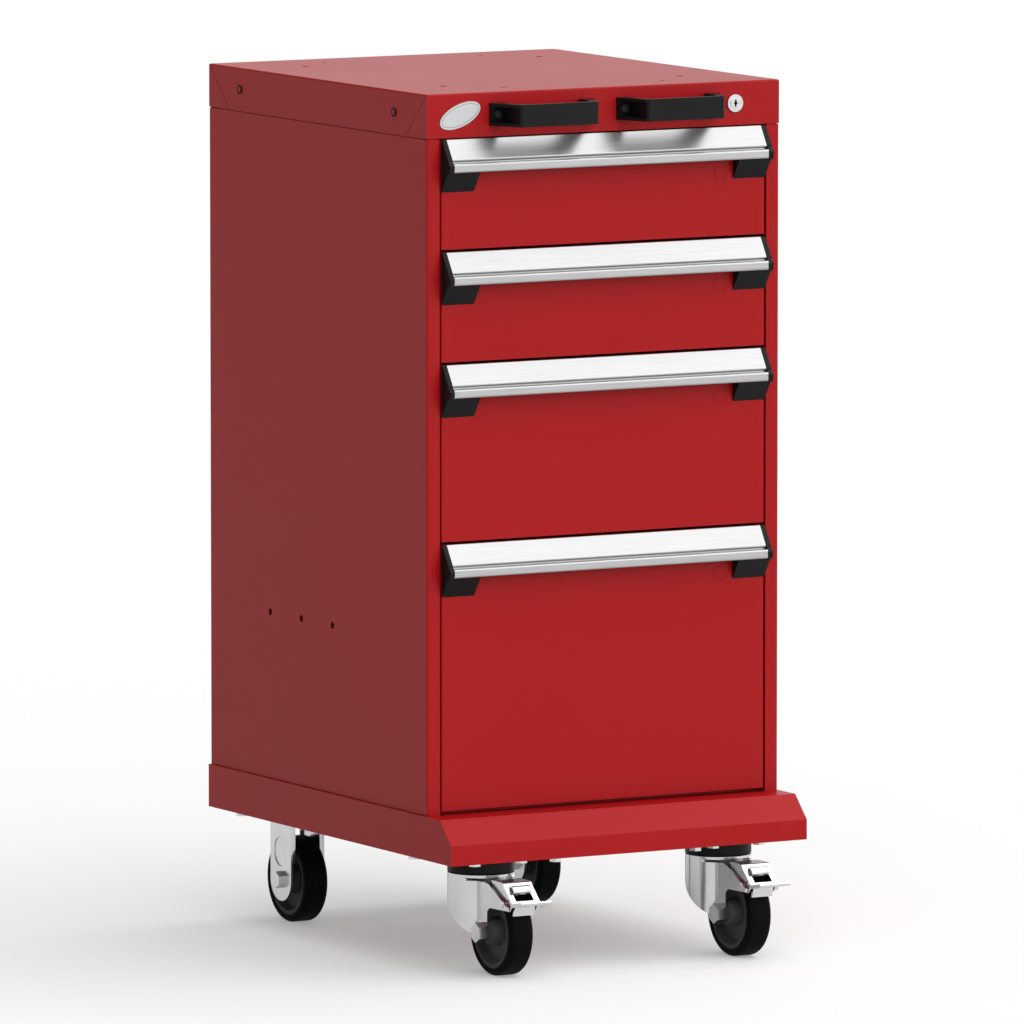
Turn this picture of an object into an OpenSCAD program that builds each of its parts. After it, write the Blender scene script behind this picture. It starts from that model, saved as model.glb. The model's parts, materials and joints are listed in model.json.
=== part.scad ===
// Mobile drawer cabinet on casters.
// Millimetres, +Z up, front towards -Y. The origin is on the floor, under the middle of the
// whole outline. Inside the modules y = 0 is the front face of the housing.

/* [Housing] */
// Width of the housing, side face to side face
body_w = 457; // [400:1:760]
// Depth of the housing, front face to back face
body_d = 521; // [500:1:700]
// Thickness of the housing sheet
sheet_t = 1.5; // [1.2:0.1:2]
// Width of the folded stile beside the drawers
stile_w = 16.5; // [16:0.5:24]
// Width of the rear flange of a side panel
rear_flange_w = 16; // [10:1:30]
// Height of the top cover
cover_h = 50; // [44:1:70]
// Outside bend radius of the folded sheet
bend_r = 2; // [1.8:0.1:3]
// Height from the base deck to the first drawer
floor_gap = 3; // [2.5:0.5:6]

/* [Drawers] */
// Height taken by the top drawer
drawer_1_h = 127; // [110:1:200]
// Height taken by the second drawer
drawer_2_h = 127; // [110:1:200]
// Height taken by the third drawer
drawer_3_h = 203; // [110:1:300]
// Height taken by the bottom drawer
drawer_4_h = 305; // [110:1:400]
// Gap between neighbouring drawer fronts
front_gap = 3; // [2:0.5:5]
// Gap between a drawer front and the stile
side_gap = 2; // [1.5:0.5:4]
// Depth of the folded drawer front
front_depth = 10; // [8:0.5:10]
// Sheet thickness of the drawer box
box_t = 1.2; // [1:0.1:1.6]
// Height left free above a drawer box
box_headroom = 25; // [20:1:40]
// Clear space behind a drawer box
box_back_gap = 30; // [28:1:60]
// Travel of a drawer
drawer_travel = 450; // [350:1:450]
// Diameter of the knock-out in a drawer front
knockout_d = 17; // [10:1:20]

/* [Slides] */
// Height of a slide rail
rail_h = 30; // [28:1:36]
// Height of a slide rail above the underside of its drawer
rail_rise = 12; // [10:1:16]
// Depth of a rail channel, web to lip
rail_d = 8; // [7:0.2:9]
// Thickness of the rail sheet
rail_t = 1.5; // [1.2:0.1:2]
// Thickness of the carriage bar between the two rails
carriage_t = 3.2; // [2.5:0.1:4]
// Gap between the carriage bar and each rail lip
carriage_gap = 0.6; // [0.4:0.1:1]
// Clearance of a roller between the lips of its rail
roller_gap = 0.3; // [0.2:0.05:0.5]
// Radius of a roller pin
roller_pin_r = 3; // [2:0.5:4]

/* [Drawer handles] */
// Depth of the handle in front of the drawer
handle_d = 20; // [18:1:28]
// Height of the handle
handle_h = 36.5; // [34:0.5:44]
// Wall of the aluminium profile
handle_t = 2; // [1.6:0.1:3]
// Thickness of an end cap
cap_t = 6; // [4:0.5:10]
// Width of the bracket under each end of the handle
bracket_w = 42; // [30:1:60]
// Height of that bracket below the handle
bracket_h = 22; // [15:1:28]

/* [Push handles] */
// Length of a push handle at its feet
push_l = 133; // [120:1:150]
// Length of its front bar
push_bar_l = 100; // [90:1:110]
// Height of the handle
push_h = 25.4; // [20:0.2:30]
// Depth in front of the cover
push_d = 44; // [36:1:56]
// Distance between the middles of the two handles
push_pitch = 164; // [155:1:200]

/* [Lock] */
// Distance of the lock from the middle of the cover
lock_x = 170; // [150:1:185]
// Diameter of the lock bezel
lock_d = 20; // [18:1:24]
// Diameter of the key plug
plug_d = 13; // [11:0.5:15]
// Travel of the lock bar
lock_throw = 10; // [8:0.5:11]

/* [Base] */
// Height of the base pan
base_h = 49.5; // [45:0.5:70]
// Sheet thickness of the base pan
base_t = 2; // [1.5:0.1:3]
// How far the base stands out at each side
base_proud = 3; // [2.5:0.5:8]
// How far the nose of the base reaches ahead of the housing
nose_d = 61.5; // [61:0.5:80]
// Width and height of the sloping face of the nose
nose_slope = 26.5; // [15:0.5:35]
// Width of the flange under the skirt
base_flange_w = 18; // [12:1:18]

/* [Casters] */
// Diameter of a wheel
wheel_d = 100; // [75:1:125]
// Width of a tyre
wheel_w = 30; // [25:1:34]
// Height of the mounting face above the top of the wheel
fork_rise = 32.5; // [30:0.5:45]
// Distance between the left and right wheels
track = 310; // [290:1:330]
// Distance of the swivel axis behind the front face
kingpin_y = 8; // [8:1:20]
// Distance of the front wheel's axle ahead of the swivel axis
trail = 48; // [40:1:50]
// Distance of the rear axle ahead of the back face
rear_axle_in = 75; // [70:1:110]
// Radius of an axle bolt
axle_r = 6; // [5:0.5:8]
// Outer half width of a fork
fork_half_w = 22; // [21:0.5:26]
// Thickness of the fork plate
fork_t = 3; // [2.5:0.5:3.5]
// Radius of the fork crown and of the raceway
crown_r = 38; // [36:1:42]
// Width of a caster plate
plate_w = 85; // [80:1:100]
// Length of a caster plate
plate_l = 100; // [90:1:100]

/* [Hidden] */
$fn = 48;
half_w = body_w / 2;
SIDES = [-1, 1];
// Gap between a sheet and the pressed sheet it sits in
panel_gap = 0.2;
// Gap between the top cover and the side panels under it
cover_gap = 1;

// Heights, from the floor up
caster_h = wheel_d + fork_rise;
base_z = caster_h - base_t;
deck_z = base_z + base_h;
stack_z = deck_z + floor_gap;
drawer_hs = [drawer_1_h, drawer_2_h, drawer_3_h, drawer_4_h];
function sum_from(list, i) = i >= len(list) ? 0 : list[i] + sum_from(list, i + 1);
function drawer_z(n) = stack_z + sum_from(drawer_hs, n);
function drawer_h(n) = drawer_hs[n - 1];
cover_z = stack_z + sum_from(drawer_hs, 0);
top_z = cover_z + cover_h;
lock_z = cover_z + cover_h / 2;

// The brake pedals are the foremost pieces, so they and the back face set the middle in Y
wheel_r = wheel_d / 2;
pivot_angle = 42.4;
pivot_clear = 4.1;
pivot = [trail + (wheel_r + pivot_clear) * cos(pivot_angle),
         wheel_r + (wheel_r + pivot_clear) * sin(pivot_angle)];
tongue_reach = 42;
tongue_half_w = 20;
pedal_tip_y = kingpin_y - pivot[0] - tongue_reach;
front_y = -(body_d + pedal_tip_y) / 2;

// Slides, from the housing inwards: rail, carriage bar, drawer rail, drawer box
rail_x = half_w - stile_w;
bar_out_x = rail_x - rail_d - carriage_gap;
bar_in_x = bar_out_x - carriage_t;
box_half_w = bar_in_x - carriage_gap - rail_d;
roller_r = rail_h / 2 - rail_t - roller_gap;
lock_bar_t = 3;
lock_bar_y = front_depth + 2;
catch_y = lock_bar_y + lock_bar_t + 1.5;
catch_t = 3;
slide_y0 = catch_y + catch_t + 2.5;
slide_y1 = body_d - 21;
box_y0 = front_depth;
box_y1 = body_d - box_back_gap;
stop_room = rail_t + roller_gap + roller_r;
in_roller_y = [slide_y0 + stop_room, box_y1 - stop_room - drawer_travel / 2];
out_roller_y = [slide_y0 + stop_room + drawer_travel / 2, slide_y1 - stop_room];
function rail_z(n) = drawer_z(n) + rail_rise;
function catch_z(n) = rail_z(n) + rail_h + 10;
catch_h = 6;
box_lift = 5;
front_w = body_w - 2 * (stile_w + side_gap);

// Lock bar between the stile and the front upright
lock_bar_x = rail_x + sheet_t + 0.2;
lock_bar_w = half_w - 2 * sheet_t - 0.3 - lock_bar_x;
lock_plug_end_y = 20;
cam_t = 3;
cam_pin_r = 2;
cam_offset = lock_throw / 2;
arm_y = lock_plug_end_y + cam_t + 2;
arm_half_h = 6;

// Base
base_half_w = half_w + base_proud;
nose_top_y = nose_slope - nose_d;
channel_t = 3;
rear_axle_y = body_d - rear_axle_in;
flange_bolt_in = 11;
nose_bolt_x = 91;

// Casters
plate_t = 3.5;
crown_top_z = caster_h - 20.5;
race_r = crown_r - 8;
kingpin_r = 6;
run_gap = 0.05;
bolt_r = 4;
bolt_play = 0.5;
bolt_corner_r = 13 / 2 / cos(30);
bolt_head_h = 4.5;
bolt_pitch = [plate_w - 25, plate_l - 20];
core_r = wheel_r * 0.84;
hub_half_w = fork_half_w - fork_t - 0.5;
axle_nut_af = 17;
pedal_pin_r = 2.5;

// Fixings and patterns
screw_r = 3;
screw_play = 0.2;
screw_head_r = 4.6;
screw_head_h = 1.8;
top_hole_pitch = [308, 327];
top_hole_r = 4.5;
top_edge_pitch = [206, 425];
top_small_hole_r = 3;
side_hole_pitch = 75;
side_hole_shift = 38.5;
side_hole_rise = 190;
side_hole_r = 4;

red = [0.70, 0.10, 0.12];
steel = [0.72, 0.73, 0.75];
black = [0.10, 0.10, 0.11];

// Outlines and details
cover_screw_y = [76, body_d - 76];
push_xs = [-push_pitch / 2, push_pitch / 2];
upright_w = 40;
upright_ys = [slide_y0, slide_y1 - upright_w];
knockout_drop = 52.5;
knockout_in = 58.5;
// Outline of the handle in Y and Z, measured from the top edge of the drawer front:
// a foot on the front, a slanting label face, a groove and a rounded lip
label_y = -15;
label_z = -21.5;
groove_h = 4.5;
foot_h = 18;
lip_r = 2.25;
push_foot_t = 4;
push_bar_t = 8;
push_arm_w = 18;
push_screw_x = push_l / 2 - push_arm_w / 2;
// Side outline of the cheeks, as distance ahead of the swivel axis and height:
// crown, horn with the pedal's pivot, lower edge of the horn, axle end and rear edge
fork_end_r = axle_r + 3.5;
axle_at = [trail, wheel_r];
fork_outline = concat(
    [[-crown_r - 1, crown_top_z + 1], [18, crown_top_z + 1], [20, crown_top_z - 6],
     [pivot[0] - 31, crown_top_z - 6], pivot + [12, -2.5], pivot + [10, -6.5],
     axle_at + [12, 29], axle_at + [7, 25.5], axle_at + [6, 22]],
    arc(axle_at, fork_end_r, 51, -100, 12),
    bezier(axle_at + [-2, -fork_end_r], axle_at + [-30, -8],
           [-crown_r - 1, crown_top_z - 11], 10));

// ---------- helpers ----------

module at_front() {
    translate([0, front_y, 0]) children();
}

// Extrudes an outline drawn in Y and Z along X
module along_x(x0, length) {
    translate([x0, 0, 0]) rotate([90, 0, 90]) linear_extrude(length) children();
}

// Extrudes an outline drawn in X and Z along Y
module along_y(y0, length) {
    translate([0, y0 + length, 0]) rotate([90, 0, 0]) linear_extrude(length) children();
}

module mirror_x(side) {
    if (side < 0) mirror([1, 0, 0]) children();
    else children();
}

// A cylinder along X, its middle line at y, z
module rod_x(x0, length, y, z, r) {
    translate([x0, y, z]) rotate([0, 90, 0]) cylinder(h = length, r = r);
}

// A cylinder along Y, its middle line at x, z
module rod_y(y0, length, x, z, r) {
    translate([x, y0, z]) rotate([-90, 0, 0]) cylinder(h = length, r = r);
}

// A rectangle from corner to corner with round corners
module round_rect(low, high, r) {
    translate([low[0] + r, low[1]]) square([high[0] - low[0] - 2 * r, high[1] - low[1]]);
    translate([low[0], low[1] + r]) square([high[0] - low[0], high[1] - low[1] - 2 * r]);
    for (x = [low[0] + r, high[0] - r], y = [low[1] + r, high[1] - r])
        translate([x, y]) circle(r);
}

function bezier(p0, p1, p2, steps) =
    [for (i = [0 : steps]) let (t = i / steps)
        (1 - t) * (1 - t) * p0 + 2 * t * (1 - t) * p1 + t * t * p2];

function arc(middle, r, from, to, steps) =
    [for (i = [0 : steps]) let (a = from + (to - from) * i / steps)
        middle + r * [cos(a), sin(a)]];

// Turns points given as distance ahead of an axis and height into Y and Z
function ahead(points) = [for (p = points) [-p[0], p[1]]];

module hex_along_x(x0, length, y, z, across_flats) {
    translate([x0, y, z]) rotate([0, 90, 0])
        cylinder(h = length, d = across_flats / cos(30), $fn = 6);
}

// ---------- housing ----------

// A block with bent top edges, as large as the cover less an inset on every side
module cover_block(inset, bottom) {
    r = max(bend_r - inset, 0.3);
    intersection() {
        along_y(inset, body_d - 2 * inset)
            round_rect([inset - half_w, bottom - 4 * r], [half_w - inset, top_z - inset], r);
        along_x(inset - half_w, body_w - 2 * inset)
            round_rect([inset, bottom - 4 * r], [body_d - inset, top_z - inset], r);
        translate([-half_w, 0, bottom]) cube([body_w, body_d, cover_h + 1]);
    }
}

// The slanting seam where a front or back lip is folded round onto the side
module corner_seam() {
    seam_w = 1;
    seam_depth = 1;
    drop = cover_h - bend_r;
    for (x = [-half_w - 0.1, half_w - seam_depth])
        along_x(x, seam_depth + 0.1)
            polygon([[bend_r, top_z - bend_r], [bend_r + seam_w, top_z - bend_r],
                     [bend_r + drop + seam_w + 1, cover_z - 1], [bend_r + drop + 1, cover_z - 1]]);
}

module four_at(pitch) {
    for (x = [-pitch[0] / 2, pitch[0] / 2], y = [-pitch[1] / 2, pitch[1] / 2])
        translate([x, y, 0]) children();
}

module top_cover() {
    return_w = 16;
    return_half_l = lock_x + 20;
    color(red) at_front() {
        difference() {
            cover_block(0, cover_z);
            cover_block(sheet_t, cover_z - 1);
            translate([0, body_d / 2, top_z - 5]) {
                four_at(top_hole_pitch) cylinder(h = 10, r = top_hole_r);
                four_at(top_edge_pitch) cylinder(h = 10, r = top_small_hole_r);
            }
            for (y = cover_screw_y)
                rod_x(-half_w - 1, body_w + 2, y, lock_z, screw_r + screw_play);
            for (c = push_xs, s = SIDES)
                rod_y(-1, sheet_t + 2, c + s * push_screw_x, lock_z, screw_r + screw_play);
            rod_y(-1, sheet_t + 2, lock_x, lock_z, lock_d / 2 - 1);
            corner_seam();
            translate([0, body_d, 0]) mirror([0, 1, 0]) corner_seam();
        }
        translate([-return_half_l, sheet_t - 0.2, cover_z])
            cube([2 * return_half_l, return_w, sheet_t]);
    }
}

module cover_screws() {
    shank = 8;
    color(steel) at_front() {
        for (s = SIDES, y = cover_screw_y) mirror_x(s) {
            rod_x(half_w, screw_head_h, y, lock_z, screw_head_r);
            rod_x(half_w - shank, shank, y, lock_z, screw_r);
        }
        for (c = push_xs, s = SIDES) {
            x = c + s * push_screw_x;
            rod_y(-push_foot_t - screw_head_h, screw_head_h, x, lock_z, screw_head_r);
            rod_y(-push_foot_t, push_foot_t + shank, x, lock_z, screw_r);
        }
    }
}

// Side sheet with its stile, its rear flange and a strip that holds the cover
module side_panel(side) {
    inner_r = max(bend_r - sheet_t, 0.2);
    joggle = 4;
    strip_h = 34;
    strip_in = 24;
    stile_return = 8;
    color(red) at_front() mirror_x(side) difference() {
        union() {
            translate([0, 0, deck_z]) linear_extrude(cover_z - cover_gap - deck_z) {
                intersection() {
                    difference() {
                        round_rect([-half_w, 0], [half_w, body_d], bend_r);
                        round_rect([sheet_t - half_w, sheet_t],
                                   [half_w - sheet_t, body_d - sheet_t], inner_r);
                    }
                    union() {
                        translate([rail_x, -1]) square([stile_w + 1, body_d / 2]);
                        translate([half_w - rear_flange_w, body_d / 2 - 2])
                            square([rear_flange_w + 1, body_d / 2 + 4]);
                    }
                }
                translate([rail_x, sheet_t / 2]) square([sheet_t, stile_return]);
            }
            translate([half_w - 2 * sheet_t, strip_in, cover_z - joggle])
                cube([sheet_t, body_d - 2 * strip_in, joggle + strip_h]);
        }
        for (y = cover_screw_y)
            rod_x(half_w - 10, 11, y, lock_z, screw_r + screw_play);
        for (i = [-1 : 1])
            rod_x(half_w - 5, 6, body_d / 2 + side_hole_shift + i * side_hole_pitch,
                  stack_z + side_hole_rise, side_hole_r);
    }
}

module side_panel_left() { side_panel(-1); }
module side_panel_right() { side_panel(1); }

// The back sits inside the rear flanges of the side panels
module back_panel() {
    tuck_h = 20;
    w = body_w - 2 * (sheet_t + panel_gap);
    y = body_d - 2 * sheet_t;
    color(red) at_front() translate([-w / 2, y, deck_z + sheet_t])
        cube([w, sheet_t, cover_z - deck_z - sheet_t + tuck_h]);
}

module bottom_panel() {
    lip_h = 5;
    w = body_w - 2 * (sheet_t + panel_gap);
    y0 = front_depth + 4;
    d = body_d - 2 * sheet_t - panel_gap - y0;
    color(red) at_front() translate([-w / 2, y0, deck_z]) difference() {
        cube([w, d, lip_h]);
        translate([-1, sheet_t, sheet_t]) cube([w + 2, d - 2 * sheet_t, lip_h]);
    }
}

module uprights_side() {
    z0 = deck_z + sheet_t;
    z1 = cover_z - 5;
    back_x = half_w - sheet_t;
    for (y = upright_ys) difference() {
        translate([rail_x, y, z0]) cube([back_x - rail_x, upright_w, z1 - z0]);
        translate([rail_x + sheet_t, y + sheet_t, z0 - 1])
            cube([back_x, upright_w - 2 * sheet_t, z1 - z0 + 2]);
    }
}

// Loops on the right front upright that guide the lock bar
module lock_bar_guides() {
    play = 0.2;
    guide_h = 8;
    for (n = [1 : 4]) difference() {
        translate([rail_x, lock_bar_y - 1.7, catch_z(n) - 20])
            cube([half_w - sheet_t - rail_x, slide_y0 - lock_bar_y + 1.9, guide_h]);
        translate([lock_bar_x - play, lock_bar_y - play, catch_z(n) - 21])
            cube([lock_bar_w + 0.3, lock_bar_t + 2 * play, guide_h + 2]);
    }
}

module slide_uprights() {
    color(steel) at_front() {
        for (s = SIDES) mirror_x(s) uprights_side();
        lock_bar_guides();
    }
}

// ---------- slides ----------

// A channel whose web is at x = 0 and whose lips reach rail_d, with a stop at each end
module rail(length) {
    difference() {
        cube([rail_d, length, rail_h]);
        translate([rail_t, rail_t, rail_t])
            cube([rail_d, length - 2 * rail_t, rail_h - 2 * rail_t]);
    }
}

module cabinet_rails() {
    color(steel) at_front() for (n = [1 : 4], s = SIDES) mirror_x(s)
        translate([rail_x, slide_y0, rail_z(n)]) mirror([1, 0, 0]) rail(slide_y1 - slide_y0);
}

module drawer_rails(n) {
    tip_gap = 2.5;
    catch_l = rail_x - tip_gap - box_half_w;
    color(steel) at_front() {
        for (s = SIDES) mirror_x(s)
            translate([box_half_w, slide_y0, rail_z(n)]) rail(box_y1 - slide_y0);
        translate([box_half_w, catch_y, catch_z(n)]) cube([catch_l, catch_t, catch_h]);
    }
}

// A roller between x0 and x1 on a headed pin that starts in the carriage bar
module roller(y, z, bar_x, x0, x1) {
    head_t = 1;
    head_r = roller_pin_r + 2;
    outwards = x1 > bar_x;
    far = outwards ? x1 : x0;
    difference() {
        rod_x(outwards ? x0 : x0 + head_t + 0.2, x1 - x0 - head_t - 0.2, y, z, roller_r);
        rod_x(x0 - 1, x1 - x0 + 2, y, z, roller_pin_r + run_gap);
    }
    rod_x(min(bar_x, far), abs(far - bar_x), y, z, roller_pin_r);
    rod_x(outwards ? far - head_t : far, head_t, y, z, head_r);
}

module drawer_carriages(n) {
    bar_inset = 2;
    side_play = 0.4;
    z = rail_z(n) + rail_h / 2;
    y0 = in_roller_y[0] - roller_r + 1;
    y1 = out_roller_y[1] + roller_r - 1;
    color(steel) at_front() for (s = SIDES) mirror_x(s) {
        translate([bar_in_x, y0, rail_z(n) + bar_inset])
            cube([carriage_t, y1 - y0, rail_h - 2 * bar_inset]);
        for (y = in_roller_y)
            roller(y, z, bar_in_x, box_half_w + rail_t + side_play, bar_in_x - side_play);
        for (y = out_roller_y)
            roller(y, z, bar_out_x, bar_out_x + side_play, rail_x - rail_t - side_play);
    }
}

// ---------- drawers ----------

module drawer_box(n) {
    rim_w = 7;
    z = drawer_z(n) + box_lift;
    h = drawer_h(n) - box_headroom;
    d = box_y1 - box_y0;
    color(red) at_front() difference() {
        translate([-box_half_w, box_y0, z]) cube([2 * box_half_w, d, h]);
        translate([box_t - box_half_w, box_y0 + box_t, z + box_t])
            cube([2 * (box_half_w - box_t), d - 2 * box_t, h - 2 * box_t]);
        translate([rim_w - box_half_w, box_y0 + rim_w, z + box_t])
            cube([2 * (box_half_w - rim_w), d - 2 * rim_w, h]);
    }
}

module drawer_front(n) {
    z = drawer_z(n) + front_gap / 2;
    h = drawer_h(n) - front_gap;
    half = front_w / 2;
    groove = 0.5;
    color(red) at_front() difference() {
        translate([0, 0, z]) linear_extrude(h) round_rect([-half, 0], [half, front_depth], bend_r);
        translate([sheet_t - half, sheet_t, z + sheet_t])
            cube([front_w - 2 * sheet_t, front_depth, h - 2 * sheet_t]);
        difference() {
            rod_y(-1, 1 + groove, half - knockout_in, z + h - knockout_drop, knockout_d / 2);
            rod_y(-2, 3 + groove, half - knockout_in, z + h - knockout_drop,
                  knockout_d / 2 - groove);
        }
    }
}

module handle_profile() {
    t = handle_t;
    lip_y = lip_r - handle_d;
    lip_z = label_z - groove_h;
    shelf_z = lip_z - t - 0.5;
    polygon([[0, 0], [-1.5, 0], [label_y, label_z], [label_y, label_z - 1.5],
             [label_y + t, label_z - 3], [label_y + t, lip_z], [lip_y, lip_z], [lip_y, shelf_z],
             [label_y + 2 * t, shelf_z], [label_y + 2 * t, label_z - 1.5],
             [label_y + t + 1, label_z + 1], [-t, -t - 1.5], [-t, -foot_h], [0, -foot_h]]);
    translate([-handle_d, lip_r - handle_h]) square([2 * lip_r, handle_h - 2 * lip_r + lip_z]);
    for (z = [lip_z - lip_r, lip_r - handle_h]) translate([lip_y, z]) circle(lip_r);
}

module drawer_handle(n) {
    z = drawer_z(n) + drawer_h(n) - front_gap / 2;
    color(steel) at_front() translate([0, 0, z])
        along_x(cap_t - front_w / 2, front_w - 2 * cap_t) handle_profile();
}

module drawer_end_caps(n) {
    z = drawer_z(n) + drawer_h(n) - front_gap / 2;
    nub = 1;
    foot = -handle_h - 1 - bracket_h;
    color(black) at_front() translate([0, 0, z]) for (s = SIDES) mirror_x(s) {
        along_x(front_w / 2 - cap_t, cap_t)
            polygon([[0, 0], [-2, 0], [label_y - nub, label_z], [label_y - nub, label_z - 2],
                     [-handle_d - nub, label_z - 7], [-handle_d - nub, 3 - handle_h],
                     [-handle_d + 1, -handle_h - 1], [label_y, -handle_h - 1], [0, foot]]);
        along_x(front_w / 2 - bracket_w, bracket_w - cap_t / 2)
            polygon([[0, -handle_h - 0.3], [label_y, -handle_h - 0.3],
                     [label_y, -handle_h - 1], [0, foot]]);
    }
}

// ---------- push handles, badge and lock ----------

module push_handle(middle) {
    foot = push_l / 2;
    bar = push_bar_l / 2;
    z0 = lock_z - push_h / 2;
    pocket_h = push_h - 7.5;
    wall = 2;
    inner = foot - push_arm_w;
    color(black) at_front() translate([middle, 0, 0]) difference() {
        translate([0, 0, z0]) linear_extrude(push_h)
            polygon(concat(
                [[-foot, 0], [-foot, -3]], [[-bar - 1.5, 2.5 - push_d], [2 - bar, -push_d]],
                [[bar - 2, -push_d], [bar + 1.5, 2.5 - push_d]], [[foot, -3], [foot, 0]],
                [[inner, 0], [inner, -push_d + push_bar_t + 9]],
                [[inner - 9, push_bar_t - push_d], [9 - inner, push_bar_t - push_d]],
                [[-inner, -push_d + push_bar_t + 9], [-inner, 0]]));
        for (s = SIDES) mirror_x(s) {
            translate([inner + wall, -push_d - 1, lock_z - pocket_h / 2])
                cube([push_arm_w - 2 * wall, push_d + 1 - push_foot_t, pocket_h]);
            rod_y(-push_foot_t - 1, push_foot_t + 2, push_screw_x, lock_z, screw_r + screw_play);
        }
    }
}

module push_handle_left() { push_handle(push_xs[0]); }
module push_handle_right() { push_handle(push_xs[1]); }

// A plain oval plate with a raised rim
module badge() {
    badge_x = -186;
    badge_w = 52;
    badge_h = 28;
    t = 0.8;
    rim = 1.5;
    color("gainsboro") at_front() translate([badge_x, 0, lock_z]) difference() {
        along_y(-t, t)
            round_rect([-badge_w / 2, -badge_h / 2], [badge_w / 2, badge_h / 2], badge_h / 2 - 0.5);
        along_y(-t - 1, 1 + t / 2)
            round_rect([rim - badge_w / 2, rim - badge_h / 2], [badge_w / 2 - rim, badge_h / 2 - rim],
                       badge_h / 2 - rim - 0.5);
    }
}

module lock_housing() {
    bezel_t = 2.5;
    nut_t = 4;
    color(steel) at_front() difference() {
        union() {
            rod_y(-bezel_t, bezel_t, lock_x, lock_z, lock_d / 2);
            rod_y(-1, lock_plug_end_y + 0.5, lock_x, lock_z, lock_d / 2 - 1.2);
            translate([lock_x, sheet_t, lock_z]) rotate([-90, 0, 0])
                cylinder(h = nut_t, d = lock_d + 6, $fn = 6);
        }
        rod_y(-bezel_t - 1, lock_plug_end_y + 10, lock_x, lock_z, plug_d / 2 + run_gap);
    }
}

module lock_plug() {
    face_y = -2.9;
    slot_w = 1.6;
    slot_h = 8;
    diamond = 3.4;
    depth = 9;
    color(steel) at_front() difference() {
        rod_y(face_y, lock_plug_end_y - face_y, lock_x, lock_z, plug_d / 2);
        translate([lock_x - slot_w / 2, face_y - 1, lock_z - slot_h / 2])
            cube([slot_w, depth, slot_h]);
        translate([lock_x, face_y - 1, lock_z]) rotate([0, 45, 0])
            translate([-diamond / 2, 0, -diamond / 2]) cube([diamond, 2.5, diamond]);
    }
}

// The cam on the end of the plug carries the pin that moves the lock bar
module lock_cam() {
    y = lock_plug_end_y;
    pin_x = lock_x + cam_offset;
    pin_z = lock_z + cam_offset;
    color(steel) at_front() {
        rod_y(y, cam_t, lock_x, lock_z, 7);
        rod_y(y, cam_t, pin_x, pin_z, cam_pin_r + 2);
        rod_y(y + cam_t - 0.1, lock_bar_t + 4, pin_x, pin_z, cam_pin_r);
    }
}

module lock_bar() {
    tab_out = 8.5;
    tab_h = 10;
    rise = 2;
    slot_play = 0.5;
    z0 = catch_z(4) - 30;
    z1 = lock_z + cam_offset + arm_half_h;
    pin_swing = lock_throw / sqrt(2);
    slot_x0 = lock_x + cam_offset - cam_pin_r - slot_play;
    slot_x1 = lock_x + pin_swing + cam_pin_r + slot_play;
    slot_half_h = cam_pin_r + slot_play;
    arm_x0 = lock_x - 6;
    arm_z = lock_z + cam_offset;
    color(steel) at_front() difference() {
        union() {
            translate([lock_bar_x, lock_bar_y, z0]) cube([lock_bar_w, lock_bar_t, z1 - z0]);
            for (n = [1 : 4])
                translate([rail_x - tab_out, lock_bar_y, catch_z(n) + catch_h + rise])
                    cube([tab_out + 3, lock_bar_t, tab_h]);
            translate([lock_bar_x, lock_bar_y, arm_z - arm_half_h])
                cube([lock_bar_t, arm_y + lock_bar_t - lock_bar_y, 2 * arm_half_h]);
            translate([arm_x0, arm_y, arm_z - arm_half_h])
                cube([lock_bar_x + lock_bar_t - arm_x0, lock_bar_t, 2 * arm_half_h]);
        }
        translate([slot_x0, arm_y - 1, arm_z - slot_half_h])
            cube([slot_x1 - slot_x0, lock_bar_t + 2, 2 * slot_half_h]);
    }
}

// ---------- base ----------

// Side outline of the base, its outer faces drawn in by an inset
module base_profile(inset, bottom) {
    fold = inset * tan(22.5);
    polygon([[nose_top_y + fold, deck_z - inset], [inset - nose_d, deck_z - nose_slope - fold],
             [inset - nose_d, bottom], [body_d - inset, bottom], [body_d - inset, deck_z - inset]]);
}

// A flange runs round the open underside of the pan
module base_pan() {
    color(red) at_front() difference() {
        along_x(-base_half_w, 2 * base_half_w) base_profile(0, base_z);
        along_x(base_t - base_half_w, 2 * (base_half_w - base_t))
            base_profile(base_t, base_z + base_t);
        translate([base_flange_w - base_half_w, base_flange_w - nose_d, base_z - 1])
            cube([2 * (base_half_w - base_flange_w), body_d + nose_d - 2 * base_flange_w,
                  base_t + 2]);
        at_flange_bolts() bolt_hole(base_z, base_t);
    }
}

module at_flange_bolts() {
    for (s = SIDES, y = [kingpin_y + 37, rear_axle_y + 13])
        translate([s * (base_half_w - flange_bolt_in), y, 0]) children();
    for (s = SIDES) translate([s * nose_bolt_x, flange_bolt_in - nose_d, 0]) children();
}

module at_casters(y) {
    for (s = SIDES) translate([s * track / 2, y, 0]) children();
}

module at_plate_bolts() {
    for (y = [kingpin_y, rear_axle_y]) at_casters(y) four_at(bolt_pitch) children();
}

module bolt_hole(z, h) {
    translate([0, 0, z - 1]) cylinder(h = h + 2, r = bolt_r + bolt_play);
}

// A web between y0 and y1 with two walls up to the deck
module base_channel(y0, y1, wall_ys) {
    half = base_half_w - base_t - panel_gap;
    translate([-half, y0, caster_h]) cube([2 * half, y1 - y0, channel_t]);
    for (y = wall_ys)
        translate([-half, y, caster_h]) cube([2 * half, channel_t, deck_z - base_t - caster_h]);
}

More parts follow.
